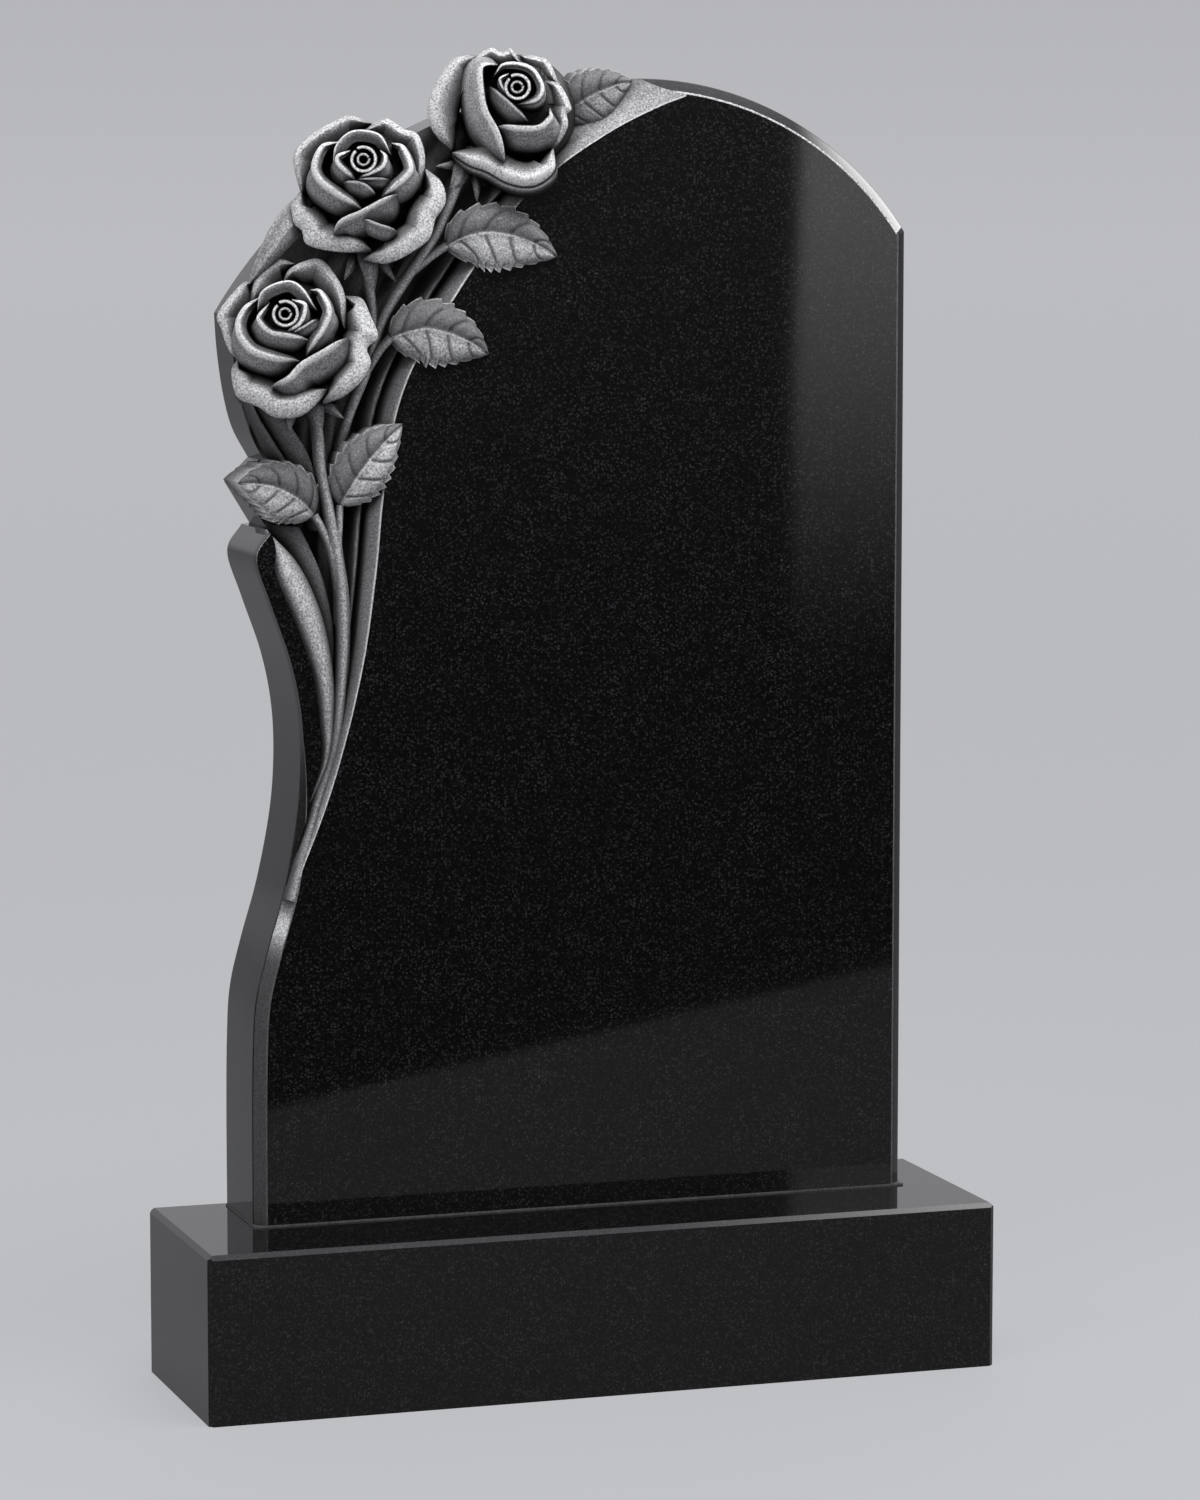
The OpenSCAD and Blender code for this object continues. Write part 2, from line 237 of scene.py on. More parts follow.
def polished_finish(name):
    """Black granite polished to a mirror: nearly black, with grey grains of about a
    millimetre in a finer dust, and cloudy patches where they lie thicker."""
    material, tree, shader = new_material(name)
    nodes, links = tree.nodes, tree.links
    where = nodes.new("ShaderNodeTexCoord").outputs["Object"]

    def mottle(scale, detail, least, most, strength):
        """Soft patches: nothing where the noise is below the least, full above the most."""
        noise = nodes.new("ShaderNodeTexNoise")
        noise.inputs["Scale"].default_value = scale
        noise.inputs["Detail"].default_value = detail
        links.new(where, noise.inputs["Vector"])
        return ranged(tree, noise.outputs["Fac"], (least, 0), (most, strength))

    def grains(scale, strength):
        """A grain in the middle of each cell. The cell's own random number says how bright
        it is, and nearly half of the cells have none."""
        cells, lot = nodes.new("ShaderNodeTexVoronoi"), nodes.new("ShaderNodeSeparateColor")
        cells.inputs["Scale"].default_value = scale
        links.new(where, cells.inputs["Vector"])
        links.new(cells.outputs["Color"], lot.inputs[0])
        inside = ranged(tree, cells.outputs["Distance"], (0.62, 0), (0.18, 1))
        brightness = ranged(tree, lot.outputs[0], (0.45, 0), (1.1, strength))
        return maths(tree, "MULTIPLY", inside, brightness)

    dust = mottle(scale=900, detail=1, least=0.45, most=0.75, strength=0.0075)
    clouds = mottle(scale=28, detail=3, least=0.25, most=0.75, strength=1.0)
    specks = maths(tree, "ADD", grains(560, 0.017), grains(330, 0.011))
    cloudy_specks = maths(tree, "MULTIPLY", specks, clouds)
    total = maths(tree, "ADD", maths(tree, "ADD", dust, cloudy_specks), specks)
    colour = nodes.new("ShaderNodeMix")
    colour.data_type = "RGBA"
    ground_colour, grain_colour, result = colour.inputs[6], colour.inputs[7], colour.outputs[2]
    ground_colour.default_value = (0.0010, 0.0010, 0.0012, 1)
    grain_colour.default_value = (1.0, 1.0, 1.06, 1)
    links.new(total, colour.inputs["Factor"])
    links.new(result, shader.inputs["Base Color"])
    shader.inputs["Roughness"].default_value = 0.04
    shader.inputs["IOR"].default_value = 1.42
    return material


def carved_finish(name):
    """Granite left frosted by the chisel, with light and shade painted into its colour: painted
    highlights light grey on the lips, painted shade dark in the hollows, with a fine stipple.
    This grey with painted light and shade comes with the mesh, and painted occlusion shade
    makes it darker still where the carving shuts the light out."""
    material, tree, shader = new_material(name)
    nodes, links = tree.nodes, tree.links
    where, grey_and_painted_light = nodes.new("ShaderNodeTexCoord"), nodes.new("ShaderNodeAttribute")
    grey_and_painted_light.attribute_name = "grey_and_painted_light"
    stipple = nodes.new("ShaderNodeTexNoise")
    stipple.inputs["Scale"].default_value = 620
    stipple.inputs["Detail"].default_value = 3
    links.new(where.outputs["Object"], stipple.inputs["Vector"])
    # Painted shade: an occlusion node darkens the colour where the carving closes round a point.
    painted_occlusion = nodes.new("ShaderNodeAmbientOcclusion")
    painted_occlusion.only_local = True
    painted_occlusion.samples = 8
    painted_occlusion.inputs["Distance"].default_value = 12 * MM
    painted_occlusion_share = maths(tree, "POWER", painted_occlusion.outputs["AO"], 1.1)
    grainy = maths(tree, "ADD", maths(tree, "MULTIPLY", stipple.outputs["Fac"], 2.2), -0.1)
    # The mesh's grey with painted light and shade, times the painted occlusion shade.
    grey_with_painted_shade = maths(tree, "MULTIPLY", grey_and_painted_light.outputs["Fac"], painted_occlusion_share)
    ramp = nodes.new("ShaderNodeValToRGB")
    darkest, lightest = ramp.color_ramp.elements
    darkest.color = (0.004, 0.004, 0.0042, 1)
    lightest.color = (0.70, 0.70, 0.71, 1)
    ramp.color_ramp.elements.new(0.45).color = (0.20, 0.20, 0.205, 1)
    links.new(maths(tree, "MULTIPLY", grey_with_painted_shade, grainy), ramp.inputs[0])
    links.new(ramp.outputs[0], shader.inputs["Base Color"])
    shader.inputs["Roughness"].default_value = 0.5
    shader.inputs["Specular IOR Level"].default_value = 0.3
    bump = nodes.new("ShaderNodeBump")
    bump.inputs["Strength"].default_value = 0.3
    bump.inputs["Distance"].default_value = 0.5 * MM
    links.new(stipple.outputs["Fac"], bump.inputs["Height"])
    links.new(bump.outputs[0], shader.inputs["Normal"])
    return material


polished = polished_finish("polished black granite")
carved = carved_finish("frosted carving")


# ---------------------------------------------------------------- curves and closed surfaces

# While the solids are joined, each point's grey and painted light is kept with this added, so
# that a new point on a seam, which has none, can be told from a dark one.
tone_offset = 1.0


def knots(points, t):
    """The smooth curve through the points: between neighbours b and c, with a before and
    d after, b + u(c-a)/2 + u^2(2a-5b+4c-d)/2 + u^3(3b-3c+d-a)/2, where t counts points."""
    p = np.asarray(points, float)
    q = np.concatenate([2 * p[:1] - p[1:2], p, 2 * p[-1:] - p[-2:-1]])
    i = np.minimum(t.astype(int), len(p) - 2)
    u = (t - i).reshape((-1,) + (1,) * (p.ndim - 1))
    a, b, c, d = q[i], q[i + 1], q[i + 2], q[i + 3]
    return b + u / 2 * (c - a + u * (2 * a - 5 * b + 4 * c - d + u * (3 * b - 3 * c + d - a)))


def by_knot(points, per=8):
    """The smooth curve through the points, with the same number of steps between each two."""
    return knots(points, np.linspace(0, len(points) - 1, per * (len(points) - 1) + 1))


def by_length(points, step):
    """The smooth curve through the points, in even steps of about the given length."""
    curve = by_knot(points, per=24)
    pieces = np.linalg.norm(np.diff(curve, axis=0), axis=1)
    along = np.concatenate([[0], np.cumsum(pieces)])
    even = np.linspace(0, along[-1], max(6, int(along[-1] / step)))
    return np.stack([np.interp(even, along, curve[:, k]) for k in range(curve.shape[1])], 1)


def headings(path):
    """The unit direction of a path at each of its points."""
    along = np.gradient(path, axis=0)
    return along / np.linalg.norm(along, axis=1)[:, None]


def side_and_front(path):
    """At each point of a path, two unit directions square to it: to its side, level with the
    face, and out to the front."""
    along = headings(path)
    side = np.cross(along, (0, 0, 1))
    side /= np.linalg.norm(side, axis=1)[:, None]
    return side, np.cross(side, along)


def ease(x):
    """0 below 0, 1 above 1, and 3x^2 - 2x^3 between."""
    x = np.clip(x, 0, 1)
    return x * x * (3 - 2 * x)


def place(p):
    """Points of the sheet, in millimetres, set in the frame in metres."""
    across, up, out = np.moveaxis(np.asarray(p, float), -1, 0)
    return np.stack([left_side + across * MM, face_y - out * MM, base_top + up * MM], -1)


def outward(verts, faces):
    """The faces, turned the other way round if the closed surface they make is inside out:
    six times its volume is the sum of a.(b x c) over its triangles."""
    small = [f for f in faces if len(f) < 5]
    quads = np.array([f if len(f) == 4 else (f[0], f[1], f[2], f[2]) for f in small])
    a, b, c, d = (verts[quads[:, k]] for k in range(4))
    volume = (a * np.cross(b, c)).sum() + (a * np.cross(c, d)).sum()
    for cap in [f for f in faces if len(f) > 4]:
        p = verts[cap]
        volume += (p[0] * np.cross(p[1:-1], p[2:])).sum()
    return faces if volume > 0 else [f[::-1] for f in faces]


def loop_faces(rings, n):
    """Quads between rings of n points, each ring closed round."""
    i, k = np.meshgrid(np.arange(rings - 1), np.arange(n), indexing="ij")
    a, b = (i * n + k).ravel(), (i * n + (k + 1) % n).ravel()
    return np.stack([a, b, b + n, a + n], 1).tolist()


def solid(name, points, faces, grey_and_painted_light, frosted=True):
    """One closed solid of the carving, from points of the sheet, with the stone's grey and the
    light and shade painted on it at each point. Its faces are frosted or polished, all of them
    or as an array says."""
    points = place(points)
    obj = mesh_object(name, points, outward(points, faces))
    obj.data.materials.append(polished)
    obj.data.materials.append(carved)
    finish = np.broadcast_to(np.asarray(frosted, np.int32), len(faces))
    obj.data.polygons.foreach_set("material_index", np.ascontiguousarray(finish))
    attribute = obj.data.attributes.new("grey_and_painted_light", "FLOAT", "POINT")
    attribute.data.foreach_set("value", np.asarray(grey_and_painted_light, float).ravel() + tone_offset)
    return obj


def thick_sheet(name, front, back, grey_and_painted_light, back_painted_shade=0.1):
    """A closed solid between a front and a back grid of points: each row of the front and
    the same row of the back, turned round, make one ring."""
    rows, cols = front.shape[:2]
    points = np.concatenate([front, back[:, ::-1]], 1).reshape(-1, 3)
    # The back is painted dark grey, as the shade under the sheet.
    tones = np.concatenate([grey_and_painted_light, np.full((rows, cols), back_painted_shade)], 1)
    k = np.arange(cols - 1)
    first = np.stack([k, 2 * cols - 1 - k, 2 * cols - 2 - k, k + 1], 1)
    last = (rows - 1) * 2 * cols + first[:, ::-1]
    faces = loop_faces(rows, 2 * cols) + first.tolist() + last.tolist()
    return solid(name, points, faces, tones)


def swept(name, rings, grey_and_painted_light):
    """A closed solid through closed rings of points, each end drawn in to its middle."""
    rows, n = rings.shape[:2]
    ends = np.stack([rings[0].mean(0), rings[-1].mean(0)])
    points = np.concatenate([rings.reshape(-1, 3), ends])
    tones = np.concatenate([grey_and_painted_light.ravel(), [np.mean(grey_and_painted_light[0]), np.mean(grey_and_painted_light[-1])]])
    k = np.arange(n)
    start, end = rows * n, rows * n + 1
    next_k, last_row = (k + 1) % n, (rows - 1) * n
    first = np.stack([np.full(n, start), next_k, k], 1)
    last = np.stack([np.full(n, end), k + last_row, next_k + last_row], 1)
    return solid(name, points, loop_faces(rows, n) + first.tolist() + last.tolist(), tones)


# ---------------------------------------------------------------- the slab and its ground

# Places across and up. The head is highest at the crown, and ends at the right shoulder and
# at the left corner. From there the left side goes down beside the roses, round the block
# under the lowest leaf, and along the waist.
crown = np.array([358.0, tablet_h])
shoulder_up, corner_up = 853.0, 785.0
left_head = [(0, corner_up), (2, 754), (7, 717), (15, 686), (29, 660)]
leaf_block = [(8, 639), (30, 603)]
left_waist = [(23, 602), (10, 579), (22, 540), (39, 491), (48, 446), (50, 400), (46, 350),
              (34, 290), (19, 238), (9, 196), (6, 150), (5, 80), (5, 0)]

# The carved ground lies between the edge of the polished face and its own far edge, both
# from the bottom up. Its share is how much of its depth it has at each point of the first.
face_edge = [(30, 258), (48, 308), (62, 342), (76, 380), (89, 423), (99, 462), (107, 500),
             (113, 540), (118, 580), (122, 622), (128, 668), (138, 711), (155, 750), (185, 796),
             (212, 835), (245, 879), (282, 911), (317, 934), (346, 950), (375, 963), (397, 971)]
ground_edge = [(28, 259), (40, 305), (48, 335), (57, 371), (66, 405), (65, 440), (60, 475),
               (50, 508), (38, 538), (27, 566), (19, 606), (-60, 660), (-60, 720), (-60, 800),
               (-50, 860), (0, 930), (90, 990), (180, 1020), (270, 1030), (345, 1030), (384, 1001)]
ground_share = [0, 0.25, 0.45, 0.62, 0.74, 0.82, 0.88, 0.92, 0.96, 1, 1, 1, 1, 1, 1, 1, 1,
                0.95, 0.75, 0.45, 0.02]
ground_depth = 45.0


def arch(shoulder):
    """The arc from a shoulder up to the crown, where it is level: with run r and rise s
    between them, its radius is (r^2 + s^2) / 2s."""
    run, rise = shoulder[0] - crown[0], crown[1] - shoulder[1]
    radius = (run * run + rise * rise) / (2 * rise)
    turn = np.arcsin(run / radius) * np.linspace(1, 0, 48)
    return crown + np.stack([radius * np.sin(turn), radius * (np.cos(turn) - 1)], 1)


def outline():
    """The tablet's outline from its lower right corner, anticlockwise."""
    right = arch((tablet_w, shoulder_up))
    left = arch((0.0, corner_up))[::-1]
    head = by_knot(left_head, 6)[1:]
    waist = by_knot(left_waist, 8)
    return np.concatenate([[(tablet_w, 0)], right, left[1:], head, leaf_block, waist])


def inset_way(edge):
    """The way inwards at each point of a closed outline: square to both its neighbours'
    edges, and longer at a corner, so that the edges stay parallel. Level at the foot."""
    back = edge - np.roll(edge, 1, 0)
    ahead = np.roll(edge, -1, 0) - edge
    back /= np.linalg.norm(back, axis=1)[:, None]
    ahead /= np.linalg.norm(ahead, axis=1)[:, None]
    along = back + ahead
    along /= np.linalg.norm(along, axis=1)[:, None]
    straightness = np.maximum(0.5, (along * ahead).sum(1))
    way = np.stack([-along[:, 1], along[:, 0]], 1) / straightness[:, None]
    way[0], way[-1] = (-1, 0), (1, 0)
    return way


def slab():
    """The polished slab: its outline carried back from the face, moved inwards over the
    bevel at the front and over a small arris at the back. The left bevel is full low down
    and all but gone beside the carving. A fine frosted grey line runs round the face, with a
    painted highlight round the right shoulder and under the lowest leaf. The low left bevel
    is frosted grey too, with a painted highlight where the carving runs out into it."""
    full_below, gone_above, least = 300, 430, 0.06
    soft, rear = 0.09, 1.5
    leaf_low, leaf_high, leaf_reach = 575, 606, 60
    # The frosted line's grey, and its painted highlight round the right shoulder and under the leaf.
    line_tone, line_painted_highlight = 0.22, 0.7
    # The low bevel's frosted grey, and its painted highlight (glint): strength, height and spread.
    bevel_tone, glint, glint_up, glint_spread = 0.13, 0.75, 262, 17

    edge = outline()
    across, up = edge.T
    left = across < tablet_w / 2
    way = inset_way(edge)
    narrowed = np.clip((gone_above - up) / (gone_above - full_below), least, 1)
    share = np.where(left, narrowed, 1)
    steps = [(1 + soft, 0), (1 - soft, soft), (soft, 1 - soft), (0, 1 + soft)]
    rings = [(edge + way * (bevel * share * inwards)[:, None], -bevel * back)
             for inwards, back in steps]
    rings += [(edge, rear - tablet_t), (edge + way * rear, -tablet_t)]
    points = np.concatenate([np.column_stack([p, np.full(len(p), out)]) for p, out in rings])
    n, last = len(edge), (len(rings) - 1) * len(edge)
    caps = [list(range(n))[::-1], list(range(last, last + n))]
    faces = loop_faces(len(rings), n) + caps

    low_left = left & (up < full_below)
    frosted = np.zeros(len(faces), int)
    frosted[:n] = 1
    frosted[n:2 * n] = low_left
    right_shoulder = (up > shoulder_up) & (across > crown[0] - 5)
    under_leaf = (up > leaf_low) & (up < leaf_high) & (across < leaf_reach)
    # Painted highlight on the line at the right shoulder and under the leaf.
    line = np.where(right_shoulder | under_leaf, line_painted_highlight, line_tone)
    low_bevel = bevel_tone + glint * np.exp(-((up - glint_up) / glint_spread) ** 2)
    grey_and_painted_light = np.tile(line, (len(rings), 1))
    grey_and_painted_light[1:3] = np.where(low_left, low_bevel, line)
    return solid("slab", points, faces, grey_and_painted_light, frosted)


def foot_bed():
    """The thin bed the tablet is set on: a box that shows as a fine line round its foot."""
    proud, height, grey = 0.7, 1.6, 0.2
    edge = outline()
    foot = edge[edge[:, 1] < height, 0]
    left, right = foot.min() - proud, foot.max() + proud
    front, back = proud, -tablet_t - proud
    plan = [(left, front), (right, front), (right, back), (left, back)]
    points = np.array([(across, up, out) for up in (0, height) for across, out in plan])
    faces = [(0, 3, 2, 1), (4, 5, 6, 7)] + loop_faces(2, 4)
    return solid("foot_bed", points, faces, np.full(8, grey))


# The ground's section, from the face's edge across: [across, depth, the stone's grey with
# painted light and shade]. A painted highlight on the arris, a grey splay, painted shade in a
# dark groove, a thin ridge, then low folds, painted lighter where they rise and dark between.
ground_section = np.array([
    (0, 0, 1.0), (0.9, 1.2, 1.0), (1.6, 3, 0.45), (8, 13, 0.36), (10, 16, 0.24),
    (11.5, 25, 0.04), (13.5, 28, 0.04), (15.5, 20, 0.25), (18, 17, 0.5), (21, 19, 0.3),
    (23.5, 30, 0.05), (28, 40, 0.02), (36, 42, 0.05), (44, 38, 0.2), (52, 37, 0.18),
    (58, 44, 0.04), (68, 42, 0.1), (76, 36, 0.26), (82, 38, 0.18), (90, 44, 0.05),
    (104, 38, 0.2), (116, 44, 0.06), (130, 38, 0.22), (150, 44, 0.1), (260, 45, 0.15)])


def ground_cutter():
    """What is cut away in front of the carved ground: a sheet from the face's edge across to
    the far edge. Its depth follows the section, narrowed and made shallower towards the
    lower end, where its splay is paler; near the crown it turns into one hollow, with a painted
    highlight at its edge and painted shade deeper in."""
    hollow_from, hollow_over = 14.5, 3
    pale_from, pale_over = 1, 5
    splay_width, in_front = 8, 90

    near, far = by_knot(face_edge, 12), by_knot(ground_edge, 12)
    knot = np.linspace(0, len(face_edge) - 1, len(near))
    share = np.clip(knots(np.array(ground_share)[:, None], knot), 0, 1)
    across = np.linspace(0, 1, 90)[None, :] ** 1.3
    x = across * np.linalg.norm(far - near, axis=1)[:, None]
    where = x / (0.15 + 0.85 * share)
    depth = np.interp(where, ground_section[:, 0], ground_section[:, 1])
    grey_and_painted_light = np.interp(where, ground_section[:, 0], ground_section[:, 2])

    hollow = ease((knot[:, None] - hollow_from) / hollow_over)
    hollow_depth = ground_depth * ease(x / 70) ** 0.8
    # Painted light in the hollow: a painted highlight at the edge, paler near it, darker further in.
    hollow_painted_light = 0.62 - 0.5 * ease(x / 60) + 0.4 * (1 - ease(x / 2))
    depth = depth + hollow * (hollow_depth - depth)
    grey_and_painted_light = grey_and_painted_light + hollow * (hollow_painted_light - grey_and_painted_light)
    low = 1 - ease((knot[:, None] - pale_from) / pale_over)
    grey_and_painted_light = grey_and_painted_light + 0.35 * low * (1 - ease((where - splay_width) / 4))

    flat = near[:, None] + (far - near)[:, None] * across[..., None]
    floor = np.concatenate([flat, -(share * depth)[..., None]], 2)
    sky = floor.copy()
    sky[..., 2] = in_front
    return thick_sheet("ground_cutter", floor, sky, grey_and_painted_light)


# ---------------------------------------------------------------- roses

# The way the roses look: the across, up and out directions of a rose, on the sheet.
rose_across = np.array([0.950, 0.0, 0.313])
rose_up = np.array([0.037, 0.993, -0.111])
rose_out = np.array([-0.311, 0.117, 0.943])

# How far a rose leans back for each millimetre up, how deep its foot lies under its heart,
# the point its petals stand round, and the belly from which a petal swells all round.
rose_lean = 0.16
rose_foot = 38
petals_middle = (0, -12)
full_belly = 24

# A petal: [points of its rim, width and depth of its inner slope, roll of its lip, how far
# the lip drops, its belly, which is how far its outer wall swells, and the rim's height]
rose_one = [
    ([(-14, 10), (-24, -2), (-21, -10), (-13, -17), (-4, -19), (19, -22)], 6, 7, 3.0, 1, 13, 33),
    ([(5, 13), (17, 10), (18, 1), (13, -10), (1, -16)], 6, 7, 3.0, 1, 9, 34),
    ([(6, -17), (17, -11), (27, -4)], 3, 4, 2.0, 1, 8, 32),
    ([(-24, 2), (-22, 17), (-13, 25), (3, 29), (15, 22), (26, 4)], 11, 12, 2.0, 1, 5, 31),
    ([(-22, 16), (-35, 8), (-42, -4), (-42, -15), (-37, -25), (-27, -34), (-7, -40), (12, -40)],
     10, 11, 4.5, 2, 13, 27),
    ([(20, 22), (30, 21), (39, 4), (34, -12), (27, -23), (18, -35)], 9, 10, 4.0, 2, 12, 27),
    ([(52, -20), (36, -32), (16, -44), (4, -56), (-11, -61)], 5, 6, 4.5, 2, 20, 25),
    ([(-33, 11), (-30, 26), (-24, 40), (-9, 50), (5, 47)], 20, 15, 6, 3, -8, 4),
    ([(-5, 29), (1, 41), (17, 49), (29, 49), (41, 35), (49, 17), (49, -10)], 20, 15, 6, 3, -8, 7),
    ([(-30, 32), (-40, 28), (-59, 3), (-56, -10), (-50, -27), (-42, -36), (-29, -46)],
     20, 15, 7, 3, -8, 7),
    ([(49, 19), (63, 16), (71, 0), (77, -17), (68, -27), (71, -40), (63, -55), (48, -68), (31, -74)],
     25, 17, 13, 5, -8, 9),
    ([(-43, -37), (-47, -47), (-42, -68), (-29, -75), (-22, -78), (-9, -86), (9, -86),
      (21, -79), (35, -63)], 27, 18, 14, 6, -8, 14)]
rose_two = [
    ([(-11, 9), (-23, 4), (-22, -5), (-7, -18)], 6, 7, 3.0, 1, 10, 33),
    ([(14, 9), (20, 3), (16, -8), (-5, -18)], 6, 7, 3.0, 1, 10, 33),
    ([(-7, -18), (8, -17), (22, -17)], 3, 4, 2.0, 1, 8, 32),
    ([(-17, -19), (-1, -21), (10, -29)], 3, 4, 2.0, 1, 12, 32),
    ([(-26, -4), (-24, 12), (-13, 24), (1, 26), (15, 21), (23, 5)], 11, 12, 2.0, 1, 5, 31),
    ([(-21, 17), (-36, 14), (-44, -2), (-41, -16), (-26, -29), (-2, -42)], 9, 10, 4.5, 2, 14, 28),
    ([(23, 16), (34, 13), (42, -5), (36, -17), (15, -33)], 9, 10, 4.0, 2, 12, 27),
    ([(29, -29), (15, -37), (-1, -46), (-17, -53), (-25, -62)], 5, 6, 3.5, 2, 16, 27),
    ([(0, -50), (14, -56), (28, -60)], 3, 4, 2.0, 1, 10, 24),
    ([(-54, -27), (-60, -4), (-60, 10), (-45, 26), (-26, 37), (-13, 42), (5, 36)],
     20, 15, 6, 3, -8, 6),
    ([(-3, 28), (9, 36), (19, 39), (33, 30), (45, 25), (51, 4), (47, -23)], 18, 15, 6, 3, -8, 7),
    ([(-55, -23), (-62, -35), (-60, -51), (-53, -58), (-48, -70), (-23, -76), (6, -76)],
     25, 17, 13, 5, -8, 11),
    ([(52, -4), (65, -16), (69, -32), (63, -44), (60, -48), (55, -65), (38, -78), (19, -86), (0, -83)],
     25, 17, 13, 5, -8, 12)]
rose_three = [
    ([(-7, 13), (-16, 7), (-10, -7)], 4, 5, 2.0, 1, 4, 33),
    ([(-20, 11), (-13, 21), (2, 22), (15, 16), (23, 0), (17, -12), (-1, -15)], 7, 8, 3.0, 1, 6, 32),
    ([(-24, 1), (-6, -15), (9, -29)], 3, 4, 2.0, 1, 13, 32),
    ([(-18, -34), (2, -37), (20, -36), (30, -26), (28, -17)], 6, 7, 4.0, 1.5, 16, 29),
    ([(-17, 21), (-27, 22), (-33, 17), (-33, 2), (-29, -20), (-19, -39), (-11, -62)],
     5, 8, 4.0, 2, 24, 30),
    ([(-49, -2), (-45, 16), (-35, 31), (-23, 38), (-13, 34), (-6, 38), (4, 24)], 17, 15, 5, 3, -8, 8),
    ([(2, 33), (17, 31), (27, 26), (35, 8)], 16, 15, 5, 3, -8, 5),
    ([(22, 11), (36, 6), (46, -14), (42, -20), (43, -30), (36, -44), (28, -51)], 18, 15, 6, 3, -8, 8),
    ([(-34, 34), (-54, 30), (-66, 15), (-75, -4), (-77, -22), (-70, -38), (-57, -50)],
     26, 15, 9, 4, -8, 6),
    ([(-56, -54), (-42, -64), (-26, -70), (-10, -79), (6, -83), (20, -80), (32, -68), (31, -50)],
     22, 13, 9, 5, 6, 14)]

# Each rose: [where its heart is on the sheet, its petals]
roses = [((39.6, 784, -2), rose_one), ((108.6, 913, -2), rose_two), ((244.6, 974, -2), rose_three)]


def rose_point(centre, p):
    """Points of a rose (across, up, out from its heart) on the sheet."""
    across, up, out = p[..., :1], p[..., 1:2], p[..., 2:]
    return np.asarray(centre) + across * rose_across + up * rose_up + out * rose_out


def rose_rings(centre, flat, out):
    """Rings of a rose on the sheet from their places across and up and how far out they
    are. A rose leans back: its lips lie lower the further up they are."""
    leaning = out[..., None] - rose_lean * flat[..., 1:2]
    return rose_point(centre, np.concatenate([flat, leaning], 2))


def petal_section(width, slope, roll, drop, belly, foot):
    """A petal's section, as [how far outside its rim, how far above it, grey with painted light
    and shade]: up the inner slope, painted dark at its foot, over the rolled lip with its painted
    highlight, down the outer wall in a painted mid grey and to the foot, painted dark again. A
    petal with a belly stands up, and its wall swells; the others lie open and curl down. It
    starts part way up from the foot, and has most of its points where the knots are close."""
    if belly > 0:
        # The outer wall's painted light, paler on a petal that swells more.
        wall = 0.40 + 0.008 * belly + 0.04 * (belly >= full_belly)
        inner = [(-width, -foot, 0.0), (-width, -slope, 0.06),
                 (-(width + roll) / 2, -0.4 * slope, 0.36), (-roll, 0, 0.82),
                 (-0.5 * roll, -0.15 * drop, 1.0)]
        outer = [(0, -drop, 1.0), (0.12 * belly, -drop - 2.5, wall),
                 (0.6 * belly, -0.8 * belly, 1.05 * wall), (0.9 * belly, -1.5 * belly, 0.7 * wall),
                 (belly, -2.2 * belly, 0.25 * wall), (0.8 * belly, -foot, 0.0)]
    else:
        inner = [(-width, -foot, 0.0), (-width, -slope, 0.05),
                 (-(width + roll) / 2, -0.4 * slope, 0.34), (-roll, 0, 0.66),
                 (-0.5 * roll, -0.2 * drop, 0.78)]
        outer = [(0, -drop, 0.66), (-0.08 * roll, -drop - 3, 0.45), (0.5 * belly, -12, 0.28),
                 (belly, -0.6 * foot, 0.1), (belly, -foot, 0.0)]
    start, last = 0.6, len(inner + outer) - 1
    return knots(inner + outer, start + (last - start) * np.linspace(0, 1, 26))


def petal(name, centre, rim, width, slope, roll, drop, belly, height):
    """A petal is one closed section carried along its rim. Its wall swells by the belly
    where it faces down, and by 0.12 of it where it doesn't; a full belly swells by 0.75 of
    it all round. The section narrows and sinks at the rim's ends, where its painted light
    fades to painted shade."""
    path = by_length(rim, 2.0)
    along = headings(path)
    side = np.stack([along[:, 1], -along[:, 0]], 1)
    side *= np.sign((side * (path - petals_middle)).sum())
    section = petal_section(width, slope, roll, drop, belly, foot=height + rose_foot)
    taper = 1 - np.abs(2 * np.linspace(0, 1, len(path)) - 1) ** 5
    narrow = (0.12 + 0.88 * taper)[:, None]
    sink = (3 + 0.25 * width) * (1 - taper)[:, None]
    faces_down = np.clip(-1.3 * side[:, 1:], 0, 1)
    swelling = 0.12 + 0.88 * faces_down if belly < full_belly else 0.75
    outside, above, section_painted_light = section.T
    across = np.where(outside > 0, outside * swelling, outside) * narrow
    flat = path[:, None] + side[:, None] * across[..., None]
    # The painted light fades to painted shade towards the rim's ends.
    grey_and_painted_light = section_painted_light * (0.55 + 0.45 * taper[:, None])
    return swept(name, rose_rings(centre, flat, height + above - sink), grey_and_painted_light)


# The rolled lips in the middle of each rose: [radius, half width, where it starts, strength
# of the painted highlight on its top]
heart_lips = [(4.6, 1.2, 0.4, 0.55), (10.0, 1.5, 2.3, 0.75)]


